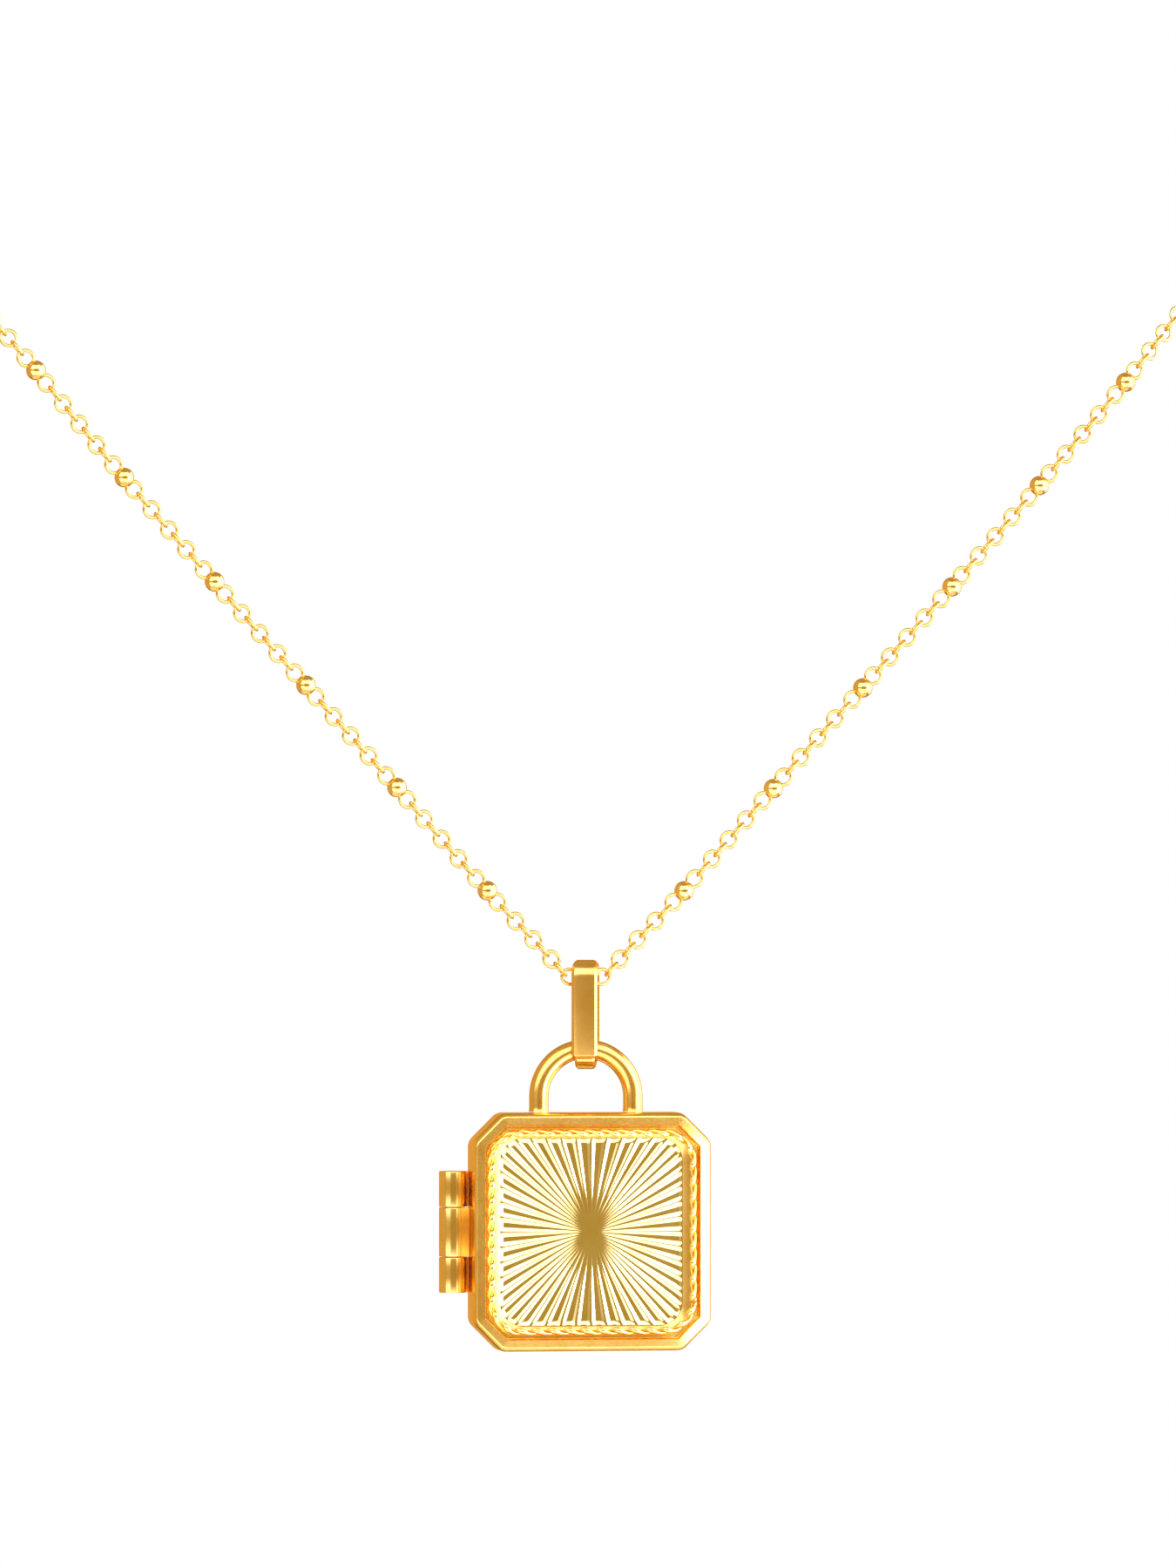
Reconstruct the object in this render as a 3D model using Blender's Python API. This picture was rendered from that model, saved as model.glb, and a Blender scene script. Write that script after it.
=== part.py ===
"""Pendant necklace: a square locket with cut corners that hangs by a padlock-like shackle and a strap
bail from a fine chain, closed at the nape by a lobster clasp. Metres, +Z up, the locket's front faces -Y.
The origin is at the nape, in the middle of the closed clasp."""

import math

import bmesh
import bpy
from mathutils import Matrix, Vector

MM = 0.001

# Locket body, measured in its own frame: centre of the parting plane, front -Y
LOCKET_WIDTH = 16.3 * MM
LOCKET_HEIGHT = 16.1 * MM
CORNER_CUT = 1.95 * MM  # leg of each cut corner
WALL = 0.6 * MM
PARTING_GAP = 0.03 * MM
FIT = 0.03 * MM  # between pieces that sit on each other
LID_DEPTH = 2.4 * MM
CASE_DEPTH = 2.1 * MM

# Lid front: raised bevelled border, rope seat, sunk panel
WALL_TOP = 1.4 * MM  # where the side wall meets the outer bevel
OUTER_BEVEL = 0.3 * MM
RIDGE_WIDTH = 0.5 * MM
INNER_BEVEL = 0.12 * MM
SEAT_DEPTH = 1.75 * MM
ROPE_SIDE_MARGIN = 1.225 * MM  # side wall to the rope's centreline
ROPE_END_MARGIN = 1.35 * MM
ROPE_DIAMETER = 0.55 * MM
ROPE_CORNER = 2.0 * MM
PLATE_SIDE_MARGIN = 1.95 * MM  # side wall to the panel's edge
PLATE_END_MARGIN = 1.75 * MM
PLATE_CUT = 1.2 * MM
PLATE_THICKNESS = 0.35 * MM
LEDGE_FRONT = 1.1 * MM
LEDGE_BACK = 0.75 * MM
LEDGE_WIDTH = 1.0 * MM
DISH_DEPTH = 0.12 * MM
DISH_STEPS = ((0.92, 0.0), (0.6, 0.55), (0.25, 1.0))  # share of the panel's size, share of the dish's depth

# Case back and what it holds
FLOOR = 0.5 * MM
BACK_BEVEL = 0.6 * MM
BACK_FALL = 1.7 * MM  # how much of the case's depth its tapered side takes up
RIM_CLEARANCE = 0.06 * MM
RIM_WALL = 0.35 * MM
RIM_RISE = 0.4 * MM
WINDOW_THICKNESS = 0.2 * MM
RETAINER_THICKNESS = 0.32 * MM
RETAINER_WIDTH = 0.9 * MM

# Hinge on the left side
BARREL_RADIUS = 0.92 * MM
BARREL_CLEARANCE = 0.18 * MM  # from the side wall
BARREL_STANDOFF = BARREL_RADIUS + BARREL_CLEARANCE  # axis to the side wall
END_KNUCKLE = 2.4 * MM
MID_KNUCKLE = 3.3 * MM
KNUCKLE_GAP = 0.05 * MM
PIN_RADIUS = 0.36 * MM
PIN_CLEARANCE = 0.04 * MM
LEAF_NEAR = 0.05 * MM  # off the parting plane
LEAF_FAR = 0.72 * MM

# Shackle and bail
SHACKLE_WIRE = 1.32 * MM
SHACKLE_RADIUS = 3.23 * MM
SHACKLE_LEG = 1.0 * MM
SHACKLE_Y = 0.9 * MM
BAIL_WIDTH = 1.75 * MM
BAIL_LIP_WIDTH = 1.38 * MM
BAIL_STRAP = 0.42 * MM
BAIL_INNER_RADIUS = 1.1 * MM
BAIL_TOP_RADIUS = 0.7 * MM  # inside, where the strap turns over the chain
BAIL_LIP_STEP = 0.12 * MM
BAIL_BEVEL = 0.2  # of the half width
BAIL_BEVEL_FALL = 0.3  # of the strap
BAIL_LEAF_END = 5.4 * MM  # below the chain
BAIL_DROP = 5.81 * MM  # inner bottom below the chain's centreline
BAIL_LIP_BULGE = 0.2 * MM  # extra thickness of the lip at its lowest
BAIL_YAW = math.radians(-13)  # the bail hangs turned a little to the left
BAIL_PLAY = 0.05 * MM

# Chain: its apex is the link in the bail
CHAIN_DIAMETER = 1.26 * MM
BAIL_LINK_LENGTH = 2.0 * MM
APEX = Vector((0.0, -110.0, -100.0)) * MM
# Right-hand route from the apex, (x, y, z) in millimetres: the free arm, then round the neck
ARM_ROUTE = [
    (1.6, 0.0, 0.4), (3.7, 0.0, 2.6), (7.0, 0.0, 6.05), (13.15, 0.0, 13.0), (19.4, 0.0, 19.95),
    (25.7, 0.0, 27.0), (32.5, 0.0, 34.8), (39.0, 0.0, 42.6),
]
NECK_ROUTE = [
    (45.5, 4.5, 50.5), (51.0, 14.0, 58.5), (54.0, 30.0, 68.0), (54.0, 50.0, 78.0),
    (50.0, 72.0, 87.0), (39.0, 92.0, 94.0), (22.0, 106.0, 98.6),
]
ARM_POINTS = 26
NECK_POINTS = 64
TUBE_GAP = 0.1 * MM

# Lobster clasp, drawn in XZ with its tail at -X
CLASP_THICKNESS = 1.5 * MM
HOOK_CENTRE = 1.5 * MM
HOOK_OUTER = 2.6 * MM
HOOK_INNER = 1.65 * MM
TAIL_X = -4.2 * MM
TAIL_RADIUS = 1.05 * MM
TAIL_HOLE = 0.5 * MM
LEVER_PIVOT = Vector((-0.7 * MM, 0.0, 0.8 * MM))
LEVER_HUB = 0.52 * MM
LEVER_REACH = 3.45 * MM  # pivot to the lever's tip
LEVER_GAP = 0.06 * MM
LEVER_THICKNESS = 0.7 * MM
SLOT_WIDTH = 0.84 * MM
SLOT_END = 1.2 * MM
POCKET_END = -2.6 * MM  # the spring's pocket runs from the lever's hub to here
POCKET_HEIGHT = 0.72 * MM
LEVER_TAB = [(-0.1, 1.8), (-0.8, 2.1), (-1.05, 1.85), (-0.48, 1.2)]  # thumb tab, (x, z) mm from the pivot
CLASP_SHOULDER = [(-2.2, 1.5), (-1.2, 1.75), (-0.15, 1.72)]  # top of the body, (x, z) mm
CLASP_PIN_RADIUS = 0.2 * MM
CLASP_PIN_FIT = 0.02 * MM
SPRING_RADIUS = 0.24 * MM
SPRING_WIRE = 0.1 * MM
SPRING_TURNS = 5
TAIL_RING_RADIUS = 1.35 * MM
TAIL_RING_WIRE = 0.5 * MM
END_RING_RADIUS = 2.0 * MM
END_RING_WIRE = 0.6 * MM
END_RING_X = 4.4 * MM
END_RING_Z = -0.75 * MM

# Worked out from the sizes above
ROPE_WIDTH = LOCKET_WIDTH - 2 * ROPE_SIDE_MARGIN
ROPE_HEIGHT = LOCKET_HEIGHT - 2 * ROPE_END_MARGIN
PLATE_WIDTH = LOCKET_WIDTH - 2 * PLATE_SIDE_MARGIN
PLATE_HEIGHT = LOCKET_HEIGHT - 2 * PLATE_END_MARGIN
BAIL_TOP = CHAIN_DIAMETER / 2 + BAIL_PLAY  # inner top above the chain's centreline
SHACKLE_ARCH_Z = LOCKET_HEIGHT / 2 + FIT + SHACKLE_LEG
ARCH_SAG = (SHACKLE_RADIUS - SHACKLE_WIRE / 2) - math.sqrt(
    (SHACKLE_RADIUS - SHACKLE_WIRE / 2) ** 2 - (BAIL_WIDTH / 2) ** 2
)
LOCKET_DROP = BAIL_DROP - ARCH_SAG - BAIL_PLAY + SHACKLE_ARCH_Z + SHACKLE_RADIUS - SHACKLE_WIRE / 2
LOCKET = APEX + Vector((0.0, -SHACKLE_Y, -LOCKET_DROP))
HINGE_X = -(LOCKET_WIDTH / 2 + BARREL_STANDOFF)
CASE_FLOOR = CASE_DEPTH - FLOOR

GOLD = (0.86, 0.60, 0.22)
PALE_GOLD = (0.93, 0.74, 0.38)


def clear_scene():
    for old in list(bpy.data.objects):
        bpy.data.objects.remove(old, do_unlink=True)


def principled(name, colour, roughness, metallic, transmission=0.0):
    material = bpy.data.materials.new(name)
    material.use_nodes = True
    shader = material.node_tree.nodes["Principled BSDF"]
    shader.inputs["Base Color"].default_value = (*colour, 1.0)
    shader.inputs["Roughness"].default_value = roughness
    shader.inputs["Metallic"].default_value = metallic
    shader.inputs["Transmission Weight"].default_value = transmission
    return material


def gold(name, colour=GOLD, roughness=0.2):
    return principled(name, colour, roughness, 1.0)


def empty(name, place):
    pivot = bpy.data.objects.new(name, None)
    pivot.empty_display_size = MM
    pivot.location = place
    bpy.context.collection.objects.link(pivot)
    return pivot


def add(name, bm, material, parent, at=(0.0, 0.0, 0.0), sharp=math.radians(30)):
    """A new object from a bmesh, whose points are measured from its own origin."""
    bmesh.ops.recalc_face_normals(bm, faces=bm.faces)
    mesh = bpy.data.meshes.new(name)
    bm.to_mesh(mesh)
    bm.free()
    mesh.shade_smooth()
    mesh.set_sharp_from_angle(angle=sharp)
    mesh.materials.append(material)
    made = bpy.data.objects.new(name, mesh)
    bpy.context.collection.objects.link(made)
    made.parent = parent
    made.location = at
    return made


def loft(rings, closed=False):
    """A closed body through rings of equal length; the ends are capped unless the rings close on themselves."""
    bm = bmesh.new()
    loops = [[bm.verts.new(p) for p in ring] for ring in rings]
    count = len(loops[0])
    pairs = list(zip(loops, loops[1:]))
    if closed:
        pairs.append((loops[-1], loops[0]))
    for near, far in pairs:
        for i in range(count):
            j = (i + 1) % count
            bm.faces.new((near[i], near[j], far[j], far[i]))
    if not closed:
        bm.faces.new(loops[0])
        bm.faces.new(list(reversed(loops[-1])))
    return bm


def arc(centre, radius, start, stop, steps):
    """Points (x, z) on an arc, angles in degrees."""
    turns = [math.radians(start + (stop - start) * k / steps) for k in range(steps + 1)]
    return [(centre[0] + radius * math.cos(t), centre[1] + radius * math.sin(t)) for t in turns]


def cut_rectangle(width, height, cut, y):
    """A rectangle with four cut corners in the plane y."""
    w, h = width / 2, height / 2
    corners = [(w, h - cut), (w - cut, h), (cut - w, h), (-w, h - cut),
               (-w, cut - h), (cut - w, -h), (w - cut, -h), (w, cut - h)]
    return [(x, y, z) for x, z in corners]


def locket_ring(inset, y):
    """The locket's outline moved inwards by inset, in the plane y."""
    cut = CORNER_CUT - inset * (2 - math.sqrt(2))
    return cut_rectangle(LOCKET_WIDTH - 2 * inset, LOCKET_HEIGHT - 2 * inset, cut, y)


def rounded_path(width, height, corner, y, steps):
    """Points along a rounded rectangle in the plane y."""
    w, h = width / 2 - corner, height / 2 - corner
    flat = []
    for k, (x, z) in enumerate([(w, h), (-w, h), (-w, -h), (w, -h)]):
        flat += arc((x, z), corner, 90 * k, 90 * k + 90, steps)
    return [Vector((x, y, z)) for x, z in flat]


def swept_rings(path, radius, sides, closed=False):
    """Round sections along a path, carried from one to the next without twisting."""
    path = [Vector(p) for p in path]
    count = len(path)
    ways = []
    for i in range(count):
        after = path[(i + 1) % count] if closed or i + 1 < count else path[i]
        before = path[i - 1] if closed or i else path[i]
        ways.append((after - before).normalized())
    side = ways[0].orthogonal().normalized()
    rings = []
    for point, way in zip(path, ways):
        side = (side - way * side.dot(way)).normalized()
        up = way.cross(side)
        turns = [2 * math.pi * k / sides for k in range(sides)]
        rings.append([point + radius * (math.cos(t) * side + math.sin(t) * up) for t in turns])
    return rings


def tube(path, radius, sides, closed=False):
    return loft(swept_rings(path, radius, sides, closed), closed)


def prism(outline, y0, y1):
    """An outline of (x, z) points, extruded from y0 to y1."""
    return loft([[(x, y, z) for x, z in outline] for y in (y0, y1)])


def window_frame(outer, inner, y0, y1):
    """A flat ring between two outlines of equal length, given as functions of y."""
    return loft([outer(y0), outer(y1), inner(y1), inner(y0)], closed=True)


def shell_inset(inset):
    return lambda y: locket_ring(inset, y)


def lid_frame(parent):
    """Side wall, raised bevelled border, rope seat, the step down to the panel and the ledge that carries it."""
    ridge = OUTER_BEVEL + RIDGE_WIDTH
    seat = ridge + INNER_BEVEL
    step = cut_rectangle
    hole_w, hole_h = PLATE_WIDTH + 2 * FIT, PLATE_HEIGHT + 2 * FIT
    hole_cut = PLATE_CUT + FIT * (2 - math.sqrt(2))
    open_w, open_h = hole_w - 2 * LEDGE_WIDTH, hole_h - 2 * LEDGE_WIDTH
    rings = [
        locket_ring(0.0, -PARTING_GAP),
        locket_ring(0.0, -WALL_TOP),
        locket_ring(OUTER_BEVEL, -LID_DEPTH),
        locket_ring(ridge, -LID_DEPTH),
        locket_ring(seat, -SEAT_DEPTH),
        step(hole_w, hole_h, hole_cut, -SEAT_DEPTH),
        step(hole_w, hole_h, hole_cut, -LEDGE_FRONT),
        step(open_w, open_h, hole_cut, -LEDGE_FRONT),
        step(open_w, open_h, hole_cut, -LEDGE_BACK),
        locket_ring(WALL, -LEDGE_BACK),
        locket_ring(WALL, -PARTING_GAP),
    ]
    return add("lid_frame", loft(rings, closed=True), gold("gold_border", roughness=0.25), parent)


def rope_trim(parent):
    """The twisted wire frame, here as a plain round wire that lies in the seat."""
    y = -(SEAT_DEPTH + FIT + ROPE_DIAMETER / 2)
    path = rounded_path(ROPE_WIDTH, ROPE_HEIGHT, ROPE_CORNER, y, 6)
    bm = tube(path, ROPE_DIAMETER / 2, 10, closed=True)
    return add("rope_trim", bm, gold("gold_rope", PALE_GOLD, 0.15), parent)


def sunburst_plate(parent):
    """The sunk panel that closes the lid's front, dished towards its middle."""
    back = -(LEDGE_FRONT + FIT)
    front = back - PLATE_THICKNESS
    rings = [cut_rectangle(PLATE_WIDTH, PLATE_HEIGHT, PLATE_CUT, y) for y in (back, front)]
    for share, dish in DISH_STEPS:
        y = front + dish * DISH_DEPTH
        rings.append(cut_rectangle(PLATE_WIDTH * share, PLATE_HEIGHT * share, PLATE_CUT * share, y))
    return add("sunburst_plate", loft(rings), gold("gold_sunburst", PALE_GOLD, 0.25), parent)


def case_back(parent):
    """The rear half: an open tray with a bevelled back."""
    rings = [
        locket_ring(WALL, CASE_FLOOR),
        locket_ring(WALL, PARTING_GAP),
        locket_ring(0.0, PARTING_GAP),
        locket_ring(0.0, CASE_DEPTH - BACK_FALL),
        locket_ring(BACK_BEVEL, CASE_DEPTH),
    ]
    return add("case_back", loft(rings), gold("gold_case"), parent)


def case_rim(parent):
    """The liner soldered in the tray, whose edge stands into the closed lid and grips it."""
    outer = WALL + RIM_CLEARANCE
    bm = window_frame(shell_inset(outer), shell_inset(outer + RIM_WALL), -RIM_RISE, CASE_FLOOR - FIT)
    return add("case_snap_rim", bm, gold("gold_rim", roughness=0.3), parent)


def photo_pieces(lid, case):
    """A clear window and the frame that holds it, in each half."""
    clear = principled("clear_acetate", (0.95, 0.96, 0.97), 0.05, 0.0, 1.0)
    metal = gold("gold_retainer", roughness=0.3)
    inside_rim = WALL + RIM_CLEARANCE + RIM_WALL + RIM_CLEARANCE
    lid_back = -(LEDGE_BACK - FIT)
    places = (
        ("lid", lid, WALL + FIT, lid_back, 1.0),
        ("case", case, inside_rim, CASE_FLOOR - FIT, -1.0),
    )
    for half, parent, window_inset, seat, way in places:
        near = seat + way * WINDOW_THICKNESS
        pane = loft([locket_ring(window_inset, y) for y in sorted((seat, near))])
        add(f"{half}_photo_window", pane, clear, parent)
        start = near + way * FIT
        ends = sorted((start, start + way * RETAINER_THICKNESS))
        inner = shell_inset(inside_rim + RETAINER_WIDTH)
        frame = window_frame(shell_inset(inside_rim), inner, *ends)
        add(f"{half}_photo_frame", frame, metal, parent)


def knuckle(name, low, high, side, material, parent):
    """A hinge knuckle with its bore, and a leaf at its +X side that reaches the wall on side -Y or +Y."""
    steps = 32
    reach = BARREL_STANDOFF - FIT
    outer, bore = [], []
    for k in range(steps):
        turn = 2 * math.pi * (k + 0.5) / steps
        x, y = BARREL_RADIUS * math.cos(turn), BARREL_RADIUS * math.sin(turn)
        if x > 0 and LEAF_NEAR < y * side < LEAF_FAR:
            x = reach
        outer.append((x, y))
        hole = PIN_RADIUS + PIN_CLEARANCE
        bore.append((hole * math.cos(turn), hole * math.sin(turn)))
    rings = [[(x, y, z) for x, y in loop] for loop, z in
             ((outer, low), (outer, high), (bore, high), (bore, low))]
    return add(name, loft(rings, closed=True), material, parent)


def hinge(lid, case):
    """Three knuckles on one pin: the end ones belong to the case, the middle one to the lid."""
    metal = gold("gold_hinge")
    half = MID_KNUCKLE / 2
    top = half + KNUCKLE_GAP
    spans = (
        ("hinge_knuckle_top", top, top + END_KNUCKLE, 1, case),
        ("hinge_knuckle_middle", -half, half, -1, lid),
        ("hinge_knuckle_bottom", -top - END_KNUCKLE, -top, 1, case),
    )
    for name, low, high, side, parent in spans:
        knuckle(name, low, high, side, metal, parent)
    length = top + END_KNUCKLE
    pin = tube([(0, 0, -length), (0, 0, length)], PIN_RADIUS, 24)
    add("hinge_pin", pin, gold("gold_pin", roughness=0.3), case)


def shackle(parent):
    """The round wire arch soldered to the top of the case."""
    turns = [math.pi * k / 20 for k in range(21)]
    path = [(SHACKLE_RADIUS, 0, -SHACKLE_LEG)]
    path += [(SHACKLE_RADIUS * math.cos(t), 0, SHACKLE_RADIUS * math.sin(t)) for t in turns]
    path += [(-SHACKLE_RADIUS, 0, -SHACKLE_LEG)]
    bm = tube(path, SHACKLE_WIRE / 2, 20)
    place = (0.0, SHACKLE_Y, SHACKLE_ARCH_Z)
    return add("shackle", bm, gold("gold_shackle", roughness=0.12), parent, place)


def bail_section(y, z, out_y, out_z, half, strap):
    """One cross-section of the strap: its inner face passes through (y, z), its outer edges are bevelled."""
    bevel, fall = BAIL_BEVEL * half, BAIL_BEVEL_FALL * strap
    shape = ((-half, 0.0), (half, 0.0), (half, strap - fall), (half - bevel, strap),
             (bevel - half, strap), (-half, strap - fall))
    return [(x, y + out_y * t, z + out_z * t) for x, t in shape]


def bail(parent):
    """A strap loop over the chain and under the shackle; the lip of its tail ends below the front leaf."""
    r, bend = BAIL_INNER_RADIUS, BAIL_TOP_RADIUS
    top, low = BAIL_TOP - bend, r - BAIL_DROP
    wide, narrow = BAIL_WIDTH / 2, BAIL_LIP_WIDTH / 2
    thin = BAIL_STRAP - BAIL_LIP_STEP
    rings = []
    for side, first in ((1, 0), (-1, 6)):
        for k in range(first, first + 7):
            turn = math.pi * k / 12
            y, z = math.cos(turn), math.sin(turn)
            rings.append(bail_section(side * (r - bend) + bend * y, top + bend * z, y, z, wide, BAIL_STRAP))
    end = -BAIL_LEAF_END
    drop = math.sqrt(r * r - (end - low) ** 2) if end < low else r
    lean = (end - low) / r
    rings.append(bail_section(-r, end, -1, 0, wide, BAIL_STRAP))
    rings.append(bail_section(-drop, end, -drop / r, lean, narrow, thin))
    start = math.atan2(end - low, -drop) % (2 * math.pi)
    for k in range(1, 11):
        turn = start + (2 * math.pi - start) * k / 10
        y, z = math.cos(turn), math.sin(turn)
        grow = max(0.0, k - 5) / 5
        half = narrow + (wide - narrow) * grow
        strap = thin + BAIL_LIP_STEP * grow + BAIL_LIP_BULGE * z * z * (1 - grow)
        rings.append(bail_section(r * y, low + r * z, y, z, half, strap))
    bm = loft(rings, closed=True)
    bmesh.ops.rotate(bm, cent=(0, 0, 0), matrix=Matrix.Rotation(BAIL_YAW, 3, "Z"), verts=bm.verts)
    return add("bail", bm, gold("gold_bail"), parent)


def spline_points(route, count):
    """count points, evenly spaced along a smooth curve through the route's points."""
    points = [Vector(p) * MM for p in route]
    chain = [2 * points[0] - points[1], *points, 2 * points[-1] - points[-2]]
    fine = []
    for a, b, c, d in zip(chain, chain[1:], chain[2:], chain[3:]):
        for k in range(24):
            t = k / 24
            fine.append(0.5 * (2 * b + (c - a) * t + (2 * a - 5 * b + 4 * c - d) * t * t
                               + (3 * b - a - 3 * c + d) * t * t * t))
    fine.append(points[-1])
    along = [0.0]
    for near, far in zip(fine, fine[1:]):
        along.append(along[-1] + (far - near).length)
    found, i = [], 0
    for k in range(count):
        want = along[-1] * k / (count - 1)
        while i < len(fine) - 2 and along[i + 1] < want:
            i += 1
        share = (want - along[i]) / (along[i + 1] - along[i])
        found.append(fine[i].lerp(fine[i + 1], min(share, 1.0)))
    return found


def chain_tube(name, points, side, material, parent):
    """A stretch of chain as a round cord; side -1 is the left one."""
    curve = bpy.data.curves.new(name, "CURVE")
    curve.dimensions = "3D"
    curve.bevel_depth = CHAIN_DIAMETER / 2
    curve.bevel_resolution = 2
    curve.render_resolution_u = 0
    curve.use_fill_caps = True
    spline = curve.splines.new("POLY")
    spline.points.add(len(points) - 1)
    for slot, point in zip(spline.points, points):
        slot.co = (side * point.x, point.y, point.z, 1.0)
    curve.materials.append(material)
    made = bpy.data.objects.new(name, curve)
    bpy.context.collection.objects.link(made)
    made.parent = parent


def trimmed(points, start, stop):
    """The same points with the first and last moved inwards along the line by start and stop."""
    points = list(points)
    if start:
        points[0] = points[0] + (points[1] - points[0]).normalized() * start
    if stop:
        points[-1] = points[-1] + (points[-2] - points[-1]).normalized() * stop
    return points


def chain(apex):
    """The link in the bail, the free arm on each side of it, and the stretches round the neck to the clasp."""
    metal = gold("gold_chain", PALE_GOLD, 0.15)
    left_end = TAIL_X - 2 * TAIL_RING_RADIUS - TAIL_RING_WIRE / 2 - TUBE_GAP
    right_end = END_RING_X + END_RING_RADIUS + END_RING_WIRE / 2 + TUBE_GAP
    half = BAIL_LINK_LENGTH / 2
    add("bail_link", tube([(-half, 0, 0), (half, 0, 0)], CHAIN_DIAMETER / 2, 16), metal, apex)
    for name, side, end, height in (("left", -1, -left_end, 0.0), ("right", 1, right_end, END_RING_Z)):
        nape = Vector((end, 0.0, height)) - APEX
        route = [*ARM_ROUTE, *NECK_ROUTE, tuple(nape / MM)]
        line = spline_points(route, ARM_POINTS + NECK_POINTS)
        arm, neck = line[:ARM_POINTS], line[ARM_POINTS - 1:]
        chain_tube(f"chain_arm_{name}", trimmed(arm, 0.0, TUBE_GAP / 2), side, metal, apex)
        chain_tube(f"chain_neck_{name}", trimmed(neck, TUBE_GAP / 2, 0.0), side, metal, apex)


def lever_outline():
    """The lever in XZ about its pivot: round hub, curved arm that ends in an arc about the pivot, thumb tab."""
    centre = (HOOK_CENTRE - LEVER_PIVOT.x, -LEVER_PIVOT.z)
    inner, outer = HOOK_INNER + LEVER_GAP, HOOK_OUTER - 2 * LEVER_GAP
    low = [p for p in arc(centre, inner, 122, 40, 14) if math.hypot(*p) < LEVER_REACH]
    high = [p for p in arc(centre, outer, 40, 118, 14) if math.hypot(*p) < LEVER_REACH]
    first = math.degrees(math.atan2(low[-1][1], low[-1][0])) + 1
    last = math.degrees(math.atan2(high[0][1], high[0][0])) - 1
    tip = arc((0.0, 0.0), LEVER_REACH, first, last, 4)
    tab = [(x * MM, z * MM) for x, z in LEVER_TAB]
    hub = arc((0.0, 0.0), LEVER_HUB, 150, 330, 12)
    return low + tip + high + tab + hub


def hook_outline():
    """The clasp's body in XZ: nose, outer curve, tail eye, shoulder and the inside of the hook."""
    centre = (HOOK_CENTRE, 0.0)
    pivot = (LEVER_PIVOT.x, LEVER_PIVOT.z)
    reach = LEVER_REACH + LEVER_GAP

    def clear(points):
        return [p for p in points if math.dist(p, pivot) > reach or p[1] < 0]

    outer = clear(arc(centre, HOOK_OUTER, 70, -125, 26))
    tail = arc((TAIL_X, 0.0), TAIL_RADIUS, -95, -265, 12)
    shoulder = [(x * MM, z * MM) for x, z in CLASP_SHOULDER]
    inner = clear(arc(centre, HOOK_INNER, 405, 180, 28)[::-1])
    start = arc(centre, HOOK_INNER, 135, 175, 4)
    return outer + tail + shoulder + start + inner


def cut(body, name, bm):
    """Takes a shape away from body, and keeps the cutter out of the model."""
    bmesh.ops.recalc_face_normals(bm, faces=bm.faces)
    mesh = bpy.data.meshes.new(name)
    bm.to_mesh(mesh)
    bm.free()
    cutter = bpy.data.objects.new(name, mesh)
    bpy.context.collection.objects.link(cutter)
    cutter.parent = body.parent
    cutter.location = body.location
    cutter.hide_render = True
    cutter.display_type = "WIRE"
    boolean = body.modifiers.new(name, "BOOLEAN")
    boolean.operation = "DIFFERENCE"
    boolean.object = cutter


def box(x0, x1, y0, y1, z0, z1):
    bm = bmesh.new()
    bmesh.ops.create_cube(bm, size=1.0)
    size = Matrix.Diagonal((x1 - x0, y1 - y0, z1 - z0, 1.0))
    middle = Matrix.Translation(((x0 + x1) / 2, (y0 + y1) / 2, (z0 + z1) / 2))
    bmesh.ops.transform(bm, matrix=middle @ size, verts=bm.verts)
    return bm


def disc(x, z, radius, half):
    """A round plug along Y."""
    return tube([(x, -half, z), (x, half, z)], radius, 20)


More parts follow.
